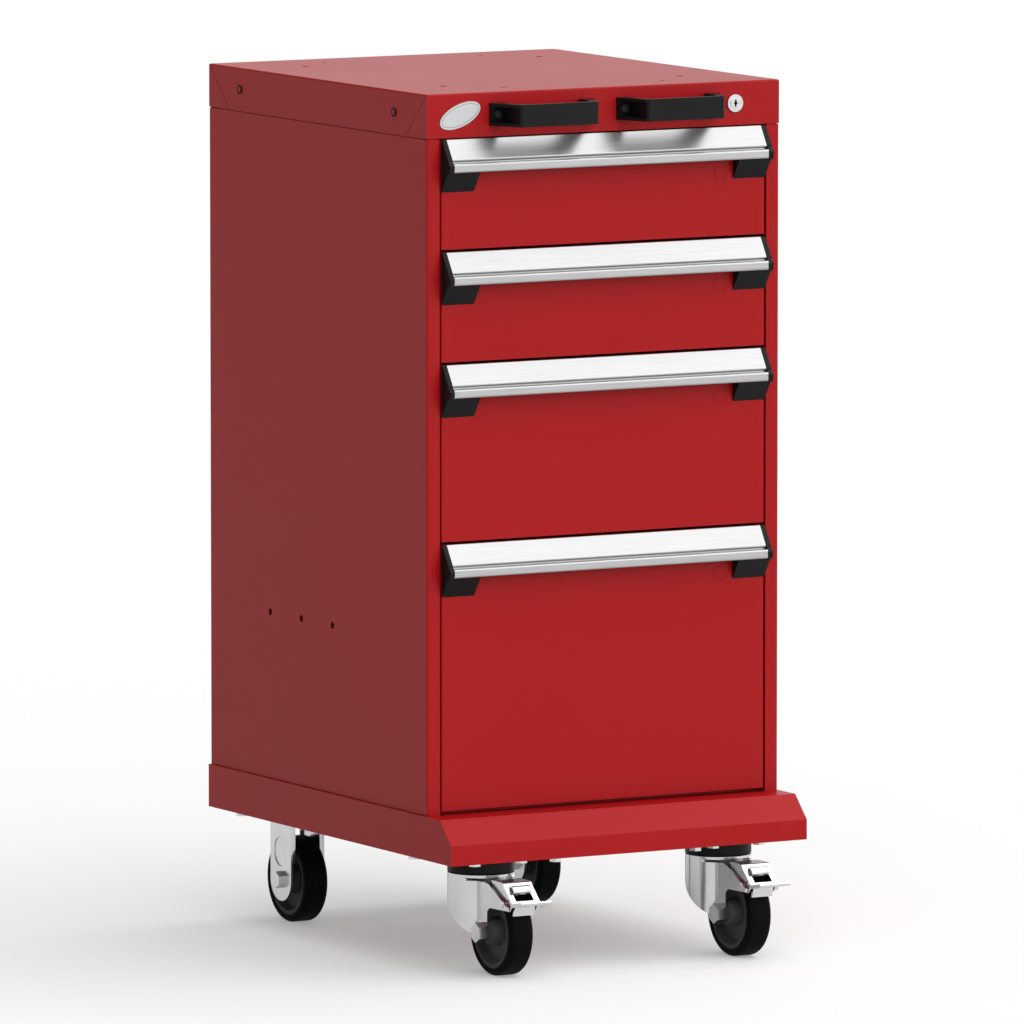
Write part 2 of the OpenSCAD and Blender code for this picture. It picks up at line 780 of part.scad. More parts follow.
// Two channels across the base carry the caster plates
module base_channels() {
    reach = plate_l / 2 + 8;
    front_y0 = base_t + panel_gap - nose_d;
    back_y1 = body_d - base_t - panel_gap;
    color(steel) at_front() difference() {
        union() {
            base_channel(front_y0, kingpin_y + reach,
                         [kingpin_y - plate_l / 4, kingpin_y + reach - channel_t]);
            base_channel(rear_axle_y - reach, back_y1,
                         [rear_axle_y - reach, rear_axle_y + reach - channel_t]);
        }
        at_plate_bolts() bolt_hole(caster_h, channel_t);
        at_flange_bolts() bolt_hole(caster_h, channel_t);
    }
}

// A hexagon bolt from below and its nut, with their bearing faces at z0 and z1
module hex_bolt(z0, z1) {
    nut_h = 6.5;
    translate([0, 0, z0 - bolt_head_h]) cylinder(h = bolt_head_h, r = bolt_corner_r, $fn = 6);
    translate([0, 0, z0 - 1]) cylinder(h = z1 - z0 + nut_h + 2.5, r = bolt_r);
    difference() {
        translate([0, 0, z1]) cylinder(h = nut_h, r = bolt_corner_r, $fn = 6);
        translate([0, 0, z1 - 1]) cylinder(h = nut_h + 2, r = bolt_r + run_gap);
    }
}

module base_bolts() {
    color(steel) at_front() {
        at_plate_bolts() hex_bolt(caster_h - plate_t, caster_h + channel_t);
        at_flange_bolts() hex_bolt(base_z, caster_h + channel_t);
    }
}

// ---------- casters ----------

module caster_plate() {
    difference() {
        translate([-plate_w / 2, -plate_l / 2, caster_h - plate_t])
            cube([plate_w, plate_l, plate_t]);
        four_at(bolt_pitch) bolt_hole(caster_h - plate_t, plate_t);
    }
}

// Top plate, raceway boss and headed kingpin of the swivel casters
module swivel_plates() {
    head_h = 4;
    head_r = kingpin_r + 5;
    head_z = crown_top_z - fork_t - 0.4 - head_h;
    color(steel) at_front() at_casters(kingpin_y) {
        caster_plate();
        translate([0, 0, crown_top_z + 2])
            cylinder(h = caster_h - plate_t - crown_top_z - 2, r = race_r);
        translate([0, 0, head_z]) cylinder(h = crown_top_z + 3 - head_z, r = kingpin_r);
        translate([0, 0, head_z]) cylinder(h = head_h, r = head_r);
    }
}

// Dust seals round the raceways
module raceway_seals() {
    z0 = crown_top_z + 0.3;
    h = caster_h - plate_t - z0;
    lip = 1.5;
    inner_r = race_r + 0.3;
    color(black) at_front() at_casters(kingpin_y) translate([0, 0, z0]) rotate_extrude()
        polygon([[inner_r, 0], [crown_r - lip, 0], [crown_r, lip], [crown_r, h - lip],
                 [crown_r - lip, h], [inner_r, h]]);
}

// The fork in plan is a key shape: a round back that runs ahead into two flat cheeks
module fork_plan(inset) {
    reach = trail + wheel_r + 20;
    circle(crown_r - inset);
    translate([inset - fork_half_w, -reach - inset])
        square([2 * (fork_half_w - inset), reach + inset]);
}

module front_fork(side) {
    color(steel) at_front() translate([side * track / 2, kingpin_y, 0]) difference() {
        union() {
            intersection() {
                linear_extrude(crown_top_z) difference() {
                    fork_plan(0);
                    fork_plan(fork_t);
                }
                along_x(-crown_r - 1, 2 * crown_r + 2) polygon(ahead(fork_outline));
            }
            translate([0, 0, crown_top_z - fork_t]) cylinder(h = fork_t, r = crown_r);
        }
        translate([0, 0, crown_top_z - fork_t - 1])
            cylinder(h = fork_t + 2, r = kingpin_r + run_gap);
        rod_x(-crown_r, 2 * crown_r, -trail, wheel_r, axle_r + run_gap);
        rod_x(-crown_r, 2 * crown_r, -pivot[0], pivot[1], pedal_pin_r + run_gap);
    }
}

module front_fork_left() { front_fork(-1); }
module front_fork_right() { front_fork(1); }

// A bolt across the fork with its head on the left and a separate nut on the right
module axle_bolt(y, head_af, head_l) {
    nut_l = 7;
    hex_along_x(-fork_half_w - head_l, head_l, y, wheel_r, head_af);
    rod_x(-fork_half_w - 1, 2 * fork_half_w + nut_l + 3, y, wheel_r, axle_r);
    difference() {
        hex_along_x(fork_half_w, nut_l, y, wheel_r, axle_nut_af);
        rod_x(fork_half_w - 1, nut_l + 2, y, wheel_r, axle_r + run_gap);
    }
}

// The axle bolt and the headed pin that the brake pedal rocks on
module front_axle(side) {
    pin_head_t = 1.2;
    half = fork_half_w + pin_head_t;
    color(steel) at_front() translate([side * track / 2, kingpin_y, 0]) {
        axle_bolt(-trail, 20, 12);
        rod_x(-half, 2 * half, -pivot[0], pivot[1], pedal_pin_r);
        for (x = [-half, fork_half_w])
            rod_x(x, pin_head_t, -pivot[0], pivot[1], pedal_pin_r + 2);
    }
}

module front_axle_left() { front_axle(-1); }
module front_axle_right() { front_axle(1); }

// Brake pedal, as distance ahead of the swivel axis and height, measured from its pivot:
// two rocker cheeks, a rolled top, a web with a gap in it, the tongue and a brake shoe
module pedal_plate(half_l, points) {
    along_x(-half_l, 2 * half_l) polygon(ahead([for (p = points) pivot + p]));
}

module brake_pedal(side) {
    cheek_out = fork_half_w - fork_t - 0.8;
    cheek_t = 2.2;
    gap_half = 11.5;
    roll_r = 5.5;
    color(steel) at_front() translate([side * track / 2, kingpin_y, 0]) difference() {
        union() {
            for (s = SIDES) mirror_x(s) along_x(cheek_out - cheek_t, cheek_t)
                polygon(ahead([for (p = [[-28, 22], [-5, 22], [15, 3], [16, 0], [9, -8],
                                         [-5, -5], [-14, 12], [-28, 20]]) pivot + p]));
            rod_x(-cheek_out, 2 * cheek_out, -pivot[0] + 7, pivot[1] + 18, roll_r);
            pedal_plate(cheek_out, [[-30, 21], [-7, 21], [-7, 23.5], [-30, 23.5]]);
            difference() {
                pedal_plate(cheek_out, [[-4, 17], [-2, 19.4], [17.4, 2], [15, 0]]);
                pedal_plate(gap_half, [[-12, 18], [-4, 26], [17, 7], [11, -1]]);
            }
            pedal_plate(cheek_out, [[12.5, -1], [12.5, 1.5], [18, 2], [18, -1]]);
            pedal_plate(tongue_half_w, [[17, -1], [17, 2], [tongue_reach - 2, 6.5],
                                        [tongue_reach, 5], [tongue_reach - 1, 2.5], [22, -1.5]]);
            pedal_plate(13, [[9, -13], [11.5, -13], [15.5, 1], [13, 1]]);
        }
        rod_x(-crown_r, 2 * crown_r, -pivot[0], pivot[1], pedal_pin_r + run_gap);
    }
}

module brake_pedal_left() { brake_pedal(-1); }
module brake_pedal_right() { brake_pedal(1); }

// Rigid forks: a top plate and two legs with edge flanges and a pressed oval hollow
module rear_forks() {
    leg_r = 25;
    flange_d = 6;
    flange_t = 2;
    flange_z = wheel_r + leg_r - 0.5;
    press_depth = 1;
    press_r = 15.5;
    press_z = wheel_r + leg_r + 6;
    leg_h = caster_h - plate_t - wheel_r;
    color(steel) at_front() at_casters(rear_axle_y) {
        caster_plate();
        for (s = SIDES) mirror_x(s) difference() {
            union() {
                rod_x(fork_half_w - fork_t, fork_t, 0, wheel_r, leg_r);
                translate([fork_half_w - fork_t, -leg_r, wheel_r])
                    cube([fork_t, 2 * leg_r, leg_h + 0.1]);
                for (y = [-leg_r, leg_r - flange_t])
                    translate([fork_half_w - flange_d, y, flange_z])
                        cube([flange_d, flange_t, leg_h + wheel_r + 0.1 - flange_z]);
            }
            for (z = [press_z, press_z + 4])
                rod_x(fork_half_w - press_depth, 2, 0, z, press_r);
            rod_x(fork_half_w - 10, 20, 0, wheel_r, axle_r + run_gap);
        }
    }
}

module rear_axles() {
    color(steel) at_front() at_casters(rear_axle_y) axle_bolt(0, axle_nut_af, 7);
}

function wheel_y(end) = end == "front" ? kingpin_y - trail : rear_axle_y;

module at_wheel(end, side) {
    at_front() translate([side * track / 2, wheel_y(end), wheel_r]) rotate([0, 90, 0]) children();
}

// Rubber tyre with round shoulders
module tyre(end, side) {
    shoulder = 6;
    half = wheel_w / 2;
    color(black) at_wheel(end, side) rotate_extrude($fn = 96) intersection() {
        round_rect([core_r - 2 * shoulder, -half], [wheel_r, half], shoulder);
        translate([core_r, -half]) square([wheel_r - core_r, wheel_w]);
    }
}

// Moulded core: rim, dished web and a hub that runs on the axle bolt
module wheel_core(end, side) {
    rim_half = wheel_w / 2 - 1.5;
    rim_r = core_r - 5;
    web_half = 5;
    hub_r = axle_r + 7;
    flare = 4;
    bore_r = axle_r + run_gap;
    half = [[core_r, rim_half], [rim_r, rim_half], [rim_r - flare, web_half],
            [hub_r + flare, web_half], [hub_r, hub_half_w], [bore_r, hub_half_w]];
    color("dimgray") at_wheel(end, side) rotate_extrude($fn = 96)
        polygon(concat(half, [for (i = [5 : -1 : 0]) [half[i][0], -half[i][1]]]));
}

// ---------- what is drawn ----------

top_cover();
cover_screws();
side_panel_left();
side_panel_right();
back_panel();
bottom_panel();
slide_uprights();
cabinet_rails();
push_handle_left();
push_handle_right();
badge();
lock_housing();
lock_plug();
lock_cam();
lock_bar();
base_pan();
base_channels();
base_bolts();
swivel_plates();
raceway_seals();
rear_forks();
rear_axles();
front_fork_left();
front_fork_right();
front_axle_left();
front_axle_right();
brake_pedal_left();
brake_pedal_right();
for (n = [1 : 4]) {
    drawer_box(n);
    drawer_front(n);
    drawer_handle(n);
    drawer_end_caps(n);
    drawer_rails(n);
    drawer_carriages(n);
}
for (end = ["front", "rear"], s = SIDES) {
    hand = s < 0 ? "left" : "right";
    tyre(end, s);
    wheel_core(end, s);
}
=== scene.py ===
# %% [markdown]
# # A red drawer cabinet on casters
# This lesson dresses a finished CAD model of a workshop cabinet. The CAD file already holds every
# part at its true size and place, so nothing here moves a part. What the lesson adds is what the
# eye looks for: rounded sheet edges, powder coat, brushed aluminium, zinc plate and rubber.

# %% Load the model and remember its box
import json
import math

import bpy
from mathutils import Matrix, Vector


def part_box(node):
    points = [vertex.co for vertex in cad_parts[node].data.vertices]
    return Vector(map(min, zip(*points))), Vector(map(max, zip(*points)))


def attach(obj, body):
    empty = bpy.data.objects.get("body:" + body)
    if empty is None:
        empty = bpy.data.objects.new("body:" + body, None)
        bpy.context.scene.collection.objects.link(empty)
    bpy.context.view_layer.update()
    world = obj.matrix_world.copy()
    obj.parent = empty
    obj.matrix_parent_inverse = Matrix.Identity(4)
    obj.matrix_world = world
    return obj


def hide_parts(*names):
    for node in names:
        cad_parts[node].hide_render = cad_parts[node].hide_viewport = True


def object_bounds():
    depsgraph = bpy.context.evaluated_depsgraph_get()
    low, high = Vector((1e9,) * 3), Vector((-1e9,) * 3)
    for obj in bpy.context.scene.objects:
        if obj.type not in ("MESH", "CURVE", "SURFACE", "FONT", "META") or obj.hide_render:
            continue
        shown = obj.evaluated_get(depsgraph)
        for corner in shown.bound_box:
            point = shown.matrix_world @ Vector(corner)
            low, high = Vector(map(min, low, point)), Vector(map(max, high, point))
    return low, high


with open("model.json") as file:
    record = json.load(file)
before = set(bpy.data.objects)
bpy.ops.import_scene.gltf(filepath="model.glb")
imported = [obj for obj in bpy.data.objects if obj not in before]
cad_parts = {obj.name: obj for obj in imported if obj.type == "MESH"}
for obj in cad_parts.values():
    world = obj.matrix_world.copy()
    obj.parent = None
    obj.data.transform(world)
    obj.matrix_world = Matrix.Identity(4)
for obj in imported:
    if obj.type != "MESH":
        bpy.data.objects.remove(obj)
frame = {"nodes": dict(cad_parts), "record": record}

cad_low, cad_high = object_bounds()
cad_size = Vector(cad_high) - Vector(cad_low)
print("CAD box, metres:", [round(v, 4) for v in cad_size])

# %% [markdown]
# ## The camera
# A long lens from far away keeps upright edges nearly parallel, the way a product is usually
# shown. The camera stands in front and to the left and looks slightly down. It could be placed by
# hand, but working its place out from an angle and a distance makes it easy to change.

# %% Place the camera
MM = 0.001
CAMERA_TURN = math.radians(29.19)
CAMERA_DROP = math.radians(6.42)
CAMERA_DISTANCE = 14.953
LENS = 457.0
AIM = Vector((0.0255, 0.0593, 0.4858))

look = Vector((math.sin(CAMERA_TURN) * math.cos(CAMERA_DROP),
               math.cos(CAMERA_TURN) * math.cos(CAMERA_DROP),
               -math.sin(CAMERA_DROP)))
camera_data = bpy.data.cameras.new("camera")
camera_data.lens = LENS
camera_data.sensor_width = 36.0
camera_data.clip_end = 200.0
camera = bpy.data.objects.new("camera", camera_data)
camera.matrix_world = look.to_track_quat("-Z", "Y").to_matrix().to_4x4()
camera.location = AIM - look * CAMERA_DISTANCE
bpy.context.scene.collection.objects.link(camera)
bpy.context.scene.camera = camera
print("camera at", [round(v, 3) for v in camera.location])

# %% [markdown]
# ## Light and floor
# One broad, soft key light stands high in front and to the right. It lights the drawer fronts,
# leaves the left side in shade and drops a soft shadow to the left. A dim, even world fills the
# shadows, and the pale floor throws light back up. A weak, low light from behind does what the
# white back wall of a studio does: it turns the top pale where it is seen at a flat angle.
#
# Area lights could do this too. Suns with a wide disc are used because they light the whole floor
# evenly, so the background stays white.

# %% Studio light
KEY_FROM = Vector((0.45, -0.60, 0.78))
KEY_STRENGTH = 5.5
KEY_DISC = math.radians(120)
FILL_STRENGTH = 0.25
BACK_FROM = Vector((0.49, 0.87, 0.20))
BACK_STRENGTH = 0.52
BACK_DISC = math.radians(60)


def add_sun(name, direction, strength, disc):
    """Adds a sun that shines from a direction, as a disc of the given angle."""
    light = bpy.data.lights.new(name, "SUN")
    light.energy = strength
    light.angle = disc
    sun = bpy.data.objects.new(name, light)
    sun.matrix_world = direction.to_track_quat("Z", "Y").to_matrix().to_4x4()
    bpy.context.scene.collection.objects.link(sun)


add_sun("key_light", KEY_FROM, KEY_STRENGTH, KEY_DISC)
add_sun("back_light", BACK_FROM, BACK_STRENGTH, BACK_DISC)

world = bpy.data.worlds.new("studio")
world.use_nodes = True
world.node_tree.nodes["Background"].inputs["Color"].default_value = (1.0, 1.0, 1.0, 1.0)
world.node_tree.nodes["Background"].inputs["Strength"].default_value = FILL_STRENGTH
bpy.context.scene.world = world
bpy.context.scene.view_settings.view_transform = "Standard"
print("key light", KEY_STRENGTH, "back light", BACK_STRENGTH, "fill", FILL_STRENGTH)

# %% [markdown]
# ## A short way to write shader maths
# Materials are graphs of nodes. Wiring each node by hand takes many lines, so one small class
# wraps an output socket. Arithmetic on it adds Math nodes, `mix` blends two colours, and `add`
# makes any other node.

# %% The socket class


class Wire:
    """An output socket of a material's node graph."""

    def __init__(self, socket):
        self.socket = socket

    def add(self, kind, settings, inputs, out=0):
        """Makes a node, sets it up, fills its inputs and returns one of its outputs."""
        tree = self.socket.id_data
        node = tree.nodes.new("ShaderNode" + kind)
        for name, value in settings.items():
            setattr(node, name, value)
        for name, value in inputs.items():
            if isinstance(value, Wire):
                tree.links.new(value.socket, node.inputs[name])
            else:
                node.inputs[name].default_value = value
        return Wire(node.outputs[out])

    def math(self, operation, first, second):
        return self.add("Math", {"operation": operation}, {0: first, 1: second})

    def __add__(self, other):
        return self.math("ADD", self, other)

    def __radd__(self, other):
        return self.math("ADD", other, self)

    def __mul__(self, other):
        return self.math("MULTIPLY", self, other)

    def __rmul__(self, other):
        return self.math("MULTIPLY", other, self)

    def mix(self, low, high):
        """The colour that goes from low to high as this value goes from 0 to 1."""
        return self.add("Mix", {"data_type": "RGBA"}, {0: self, 6: low, 7: high}, 2)

    def noise(self, scale, detail=2.0, stretch=(1.0, 1.0, 1.0)):
        """A cloudy value read at these coordinates, stretched along an axis where it is small."""
        place = self.add("Mapping", {}, {"Vector": self, "Scale": stretch})
        return self.add("TexNoise", {}, {"Vector": place, "Scale": scale, "Detail": detail}, "Fac")


def rgb(red, green, blue):
    return (red, green, blue, 1.0)


def new_material(name):
    """An empty material and the Object coordinates that its patterns are read at."""
    material = bpy.data.materials.new(name)
    material.use_nodes = True
    tree = material.node_tree
    tree.nodes.clear()
    place = Wire(tree.nodes.new("ShaderNodeTexCoord").outputs["Object"])
    return material, place


def surface(material, place, height, depth, inputs):
    """Closes a material: a Principled shader with a bump made from a height."""
    bump = place.add("Bump", {}, {"Strength": 1.0, "Distance": depth, "Height": height}, "Normal")
    shader = place.add("BsdfPrincipled", {}, {**inputs, "Normal": bump})
    output = material.node_tree.nodes.new("ShaderNodeOutputMaterial")
    material.node_tree.links.new(shader.socket, output.inputs["Surface"])
    print("material", material.name, "with", len(material.node_tree.nodes), "nodes")
    return material


# %% [markdown]
# ## Red powder coat
# Powder coat is sprayed as dust and melted, so it dries with a very fine orange peel and a
# satin gloss. A picture of it could be wrapped round each panel, but that leaves seams. Noise
# read at the Object coordinates has none: a fine one gives the peel, and a broad one shifts the
# colour and the gloss a little from place to place, so that large panels don't look printed.

# %% Powder coat
COAT_LIGHT = rgb(0.275, 0.0036, 0.0046)
COAT_DARK = rgb(0.250, 0.0028, 0.0036)


def powder_coat():
    material, place = new_material("red_powder_coat")
    peel = place.noise(620.0, 1.0)
    clouds = place.noise(4.0, 3.0)
    grain = place.noise(1500.0, 2.0)
    colour = (clouds * 0.8 + grain * 0.2).mix(COAT_DARK, COAT_LIGHT)
    gloss = 0.30 + clouds * 0.06 + grain * 0.04
    return surface(material, place, peel, 0.02 * MM,
                   {"Base Color": colour, "Roughness": gloss, "Specular IOR Level": 0.12})


red_coat = powder_coat()

# %% [markdown]
# ## Metals
# Brushed aluminium is scratched along the handle, so its noise is stretched along X. That is far
# lighter than cutting scratches into the mesh. Zinc plate has no direction, only faint clouds.
# Galvanised slides show flat crystals, which a Voronoi pattern draws well. The lock is chrome, the
# brightest metal here.

# %% Brushed aluminium


def brushed_aluminium():
    material, place = new_material("brushed_aluminium")
    brush = place.noise(1400.0, 2.0, (0.012, 1.0, 1.0))
    clouds = place.noise(9.0, 2.0)
    colour = brush.mix(rgb(0.31, 0.31, 0.315), rgb(0.43, 0.43, 0.43))
    gloss = 0.22 + brush * 0.14 + clouds * 0.05
    return surface(material, place, brush, 0.006 * MM,
                   {"Base Color": colour, "Roughness": gloss, "Metallic": 1.0})


aluminium = brushed_aluminium()

# %% Zinc plate, galvanised steel and chrome


def zinc_plate():
    material, place = new_material("zinc_plate")
    clouds = place.noise(38.0, 4.0)
    grain = place.noise(700.0, 2.0, (1.0, 1.0, 0.15))
    colour = clouds.mix(rgb(0.54, 0.545, 0.56), rgb(0.70, 0.70, 0.70))
    gloss = 0.13 + clouds * 0.10 + grain * 0.05
    return surface(material, place, grain, 0.006 * MM,
                   {"Base Color": colour, "Roughness": gloss, "Metallic": 1.0})


def galvanised_steel():
    material, place = new_material("galvanised_steel")
    crystal = place.add("TexVoronoi", {}, {"Vector": place, "Scale": 160.0}, "Color")
    shade = crystal.add("SeparateColor", {}, {"Color": crystal}, "Red")
    grain = place.noise(500.0, 3.0)
    colour = shade.mix(rgb(0.55, 0.56, 0.58), rgb(0.74, 0.75, 0.76))
    gloss = 0.28 + shade * 0.14 + grain * 0.06
    return surface(material, place, grain, 0.01 * MM,
                   {"Base Color": colour, "Roughness": gloss, "Metallic": 1.0})


def chrome_plate():
    material, place = new_material("chrome_plate")
    haze = place.noise(260.0, 3.0)
    colour = haze.mix(rgb(0.60, 0.60, 0.61), rgb(0.72, 0.72, 0.72))
    gloss = 0.05 + haze * 0.08
    return surface(material, place, haze, 0.002 * MM,
                   {"Base Color": colour, "Roughness": gloss, "Metallic": 1.0})


zinc = zinc_plate()
galvanised = galvanised_steel()
chrome = chrome_plate()

# %% [markdown]
# ## Plastic and rubber
# Handles and end caps are moulded with a fine spark-eroded grain that kills hard reflections.
# Tyres are rubber: nearly black, rougher, with a trace of dust. The wheel core is a greyer nylon.
# These and the near-black finish, which on the side screws is painted shade of the gaps round
# their heads, could each have a graph of their own, but they differ only in shade, grain and
# gloss, so one function makes them all.

# %% Plastic and rubber


def moulded(name, dark, light, grain_size, depth, gloss, shine):
    """A plastic, rubber or coated finish between two shades."""
    material, place = new_material(name)
    grain = place.noise(grain_size, 2.0)
    clouds = place.noise(22.0, 3.0)
    colour = (clouds * 0.7 + grain * 0.3).mix(dark, light)
    roughness = gloss + clouds * 0.08 + grain * 0.08
    return surface(material, place, grain, depth, {
        "Base Color": colour, "Roughness": roughness, "Specular IOR Level": shine})


black_plastic = moulded("black_plastic_and_keyway_shade", rgb(0.0040, 0.0040, 0.0043),
                        rgb(0.0075, 0.0075, 0.0078), 1900.0, 0.02 * MM, 0.30, 0.10)
rubber = moulded("tyre_rubber", rgb(0.0014, 0.0014, 0.0014),
                 rgb(0.0032, 0.0032, 0.0032), 900.0, 0.03 * MM, 0.46, 0.03)
near_black_and_shade = moulded("near_black_and_painted_shade", rgb(0.012, 0.012, 0.012),
                    rgb(0.024, 0.024, 0.024), 800.0, 0.01 * MM, 0.30, 0.4)
grey_nylon = moulded("grey_nylon", rgb(0.036, 0.036, 0.037),
                     rgb(0.052, 0.052, 0.053), 1300.0, 0.02 * MM, 0.40, 0.1)


def pearl_plate():
    material, place = new_material("pearl_plate")
    brush = place.noise(900.0, 2.0, (0.05, 1.0, 1.0))
    clouds = place.noise(30.0, 2.0)
    colour = (brush * 0.5 + clouds * 0.5).mix(rgb(0.36, 0.365, 0.375), rgb(0.48, 0.48, 0.485))
    return surface(material, place, brush, 0.004 * MM,
                   {"Base Color": colour, "Roughness": 0.28 + clouds * 0.08, "Metallic": 0.35})


pearl = pearl_plate()

# %% [markdown]
# ## Which part has which finish
# The record that came with the model says which finish each part takes. Sixty parts could be
# dressed one by one. A table that turns the record's finish names into the materials above does it
# in a loop, and no part can be forgotten.

# %% Finish every part
FINISHES = {
    "red_paint": red_coat, "zinc_steel": zinc, "slide_steel": galvanised,
    "aluminium": aluminium, "black_plastic": black_plastic, "chrome": chrome,
    "badge_grey": pearl, "tyre": rubber, "core_grey": grey_nylon,
}
SLOT_OF = {part["node"]: part["material_slot"] for part in frame["record"]["subparts"]}

for name, piece in frame["nodes"].items():
    piece.data.materials.clear()
    piece.data.materials.append(FINISHES[SLOT_OF[name]])
print("finished parts:", len(SLOT_OF))

# %% [markdown]
# ## Rounded edges
# A real edge is never perfectly sharp, and the thin highlight along it tells the eye how thick
# the sheet is. Each painted or moulded part is copied, its doubled points are merged, its flat
# faces are joined, and a Bevel modifier rounds what is left of its sharp edges. The edges could be
# picked and beveled by hand, but an angle limit finds them all at once. A Weighted Normal modifier
# then keeps the large flat faces flat in the light.

# %% Helpers to select, to apply and to look up


def select_only(piece):
    """Selects one piece and makes it active, with nothing else selected."""
    bpy.ops.object.select_all(action="DESELECT")
    piece.select_set(True)
    bpy.context.view_layer.objects.active = piece


def apply_modifier(piece, kind, **settings):
    """Adds a modifier to a piece, sets it up and applies it."""
    select_only(piece)
    modifier = piece.modifiers.new(kind.lower(), kind)
    for name, value in settings.items():
        setattr(modifier, name, value)
    bpy.ops.object.modifier_apply(modifier=modifier.name)


def body_of(node_name):
    """The body that a CAD node moves with."""
    for body, members in frame["record"]["behaviour"]["bodies"].items():
        if node_name in members:
            return body


# %% A function that rounds the edges of a part
SHARP = math.radians(32)
DOUBLED = 0.001 * MM
FLAT = math.radians(0.4)


def round_edges(node_name, radius):
    """Stands a copy with rounded edges in for a CAD node."""
    source = frame["nodes"][node_name]
    piece = bpy.data.objects.new(node_name + "_rounded", source.data.copy())
    bpy.context.scene.collection.objects.link(piece)
    select_only(piece)
    bpy.ops.object.mode_set(mode="EDIT")
    bpy.ops.mesh.select_all(action="SELECT")
    bpy.ops.mesh.remove_doubles(threshold=DOUBLED)
    bpy.ops.mesh.dissolve_limited(angle_limit=FLAT)
    bpy.ops.object.mode_set(mode="OBJECT")
    apply_modifier(piece, "BEVEL", width=radius, segments=3, limit_method="ANGLE",
                   angle_limit=SHARP)
    bpy.ops.object.shade_smooth_by_angle(angle=SHARP)
    apply_modifier(piece, "WEIGHTED_NORMAL", mode="FACE_AREA", weight=50, keep_sharp=True)
    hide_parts(node_name)
    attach(piece, body_of(node_name))
    return piece


# %% Round the painted sheets, the plastic and the castings
ROUNDED = {
    "base_pan": 0.8, "side_panel_left": 0.4, "side_panel_right": 0.4,
    "push_handle_left": 1.2, "push_handle_right": 1.2, "lock_housing": 0.5,
    "front_fork_left": 0.6, "front_fork_right": 0.6,
    "brake_pedal_left": 0.5, "brake_pedal_right": 0.5, "rear_forks": 0.6,
    "lock_plug": 0.4, "cover_screws": 0.3,
}
for number in range(1, 5):
    ROUNDED[f"drawer_{number}_front"] = 0.8
    ROUNDED[f"drawer_{number}_handle"] = 0.4
    ROUNDED[f"drawer_{number}_end_caps"] = 0.8
rounded = {name: round_edges(name, radius * MM) for name, radius in ROUNDED.items()}
print("rounded parts:", len(rounded))

# %% [markdown]
# ## Faces in a second material
# Two small parts take a second material on chosen faces. The faces inside the keyway of the lock
# are made black: painted shade for the deep hole in bright chrome. The side screws are painted
# over in their heads, and the dark ring left round the red is painted shade for the gap round each
# screw. Each could be built of two pieces. Giving chosen faces a second material is quicker,
# because the shape is already right.

# %% Two ways to treat chosen faces
FACE_TOLERANCE = 0.05 * MM


def paint_faces(piece, material, wanted):
    """Gives a second material to the faces whose middle and normal pass a test."""
    piece.data.materials.append(material)
    painted = [face for face in piece.data.polygons if wanted(face.center, face.normal)]
    for face in painted:
        face.material_index = len(piece.data.materials) - 1
    print(piece.name, "has", len(painted), "faces in", material.name)


def hollow_faces(piece, wanted, rim, depth):
    """Insets the chosen faces by the rim and sinks them."""
    select_only(piece)
    bpy.ops.object.mode_set(mode="EDIT")
    bpy.ops.mesh.select_mode(type="FACE")
    bpy.ops.mesh.select_all(action="DESELECT")
    bpy.ops.object.mode_set(mode="OBJECT")
    for face in piece.data.polygons:
        face.select = wanted(face.center, face.normal)
    bpy.ops.object.mode_set(mode="EDIT")
    bpy.ops.mesh.inset(thickness=rim, depth=-depth, use_individual=True)
    bpy.ops.object.mode_set(mode="OBJECT")


# %% The keyway
lock_low, lock_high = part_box("lock_plug")
lock_middle = (lock_low + lock_high) / 2
KEYWAY_REACH = 4.4 * MM
KEYWAY_DEPTH = 9 * MM


def in_keyway(middle, normal):
    from_axis = math.hypot(middle.x - lock_middle.x, middle.z - lock_middle.z)
    return FACE_TOLERANCE < middle.y - lock_low.y < KEYWAY_DEPTH and from_axis < KEYWAY_REACH


# The keyway faces are made black as painted shade of the deep, narrow hole.
paint_faces(rounded["lock_plug"], black_plastic, in_keyway)

# %% The heads of the side screws
screws_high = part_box("cover_screws")[1]
SHADE_RING_WIDE = 1.1 * MM
HEAD_SINK = 0.4 * MM
FACING = 0.9


def on_side_head(middle, normal):
    return abs(normal.x) > FACING and abs(middle.x) > screws_high.x - FACE_TOLERANCE


def in_side_head(middle, normal):
    sunk = abs(abs(middle.x) - screws_high.x + HEAD_SINK) < FACE_TOLERANCE
    return abs(normal.x) > FACING and sunk


screws = rounded["cover_screws"]
# The whole screw is near-black; on the side heads the dark ring left round the red centre is
# painted shade of the gap round each screw.
screws.data.materials[0] = near_black_and_shade
hollow_faces(screws, on_side_head, SHADE_RING_WIDE, HEAD_SINK)
paint_faces(screws, red_coat, in_side_head)

# %% [markdown]
# ## The badge
# The badge is a thin oval plate that leans to the right, with one fine dark line near its rim. It
# could be cut from a curve. Here a filled circle is squeezed to an oval, turned and extruded,
# which keeps the points even. Its front is then inset: the strip between the last two insets takes
# the dark finish. The plate carries no mark of any maker.

# %% The oval badge
BADGE_HALF_LONG = 27.4 * MM
BADGE_HALF_SHORT = 12.6 * MM
BADGE_LEAN = math.radians(-22)
BADGE_THICK = 0.8 * MM
RIM_WIDE = 0.25 * MM
LINE_IN = 1.9 * MM
LINE_WIDE = 0.45 * MM

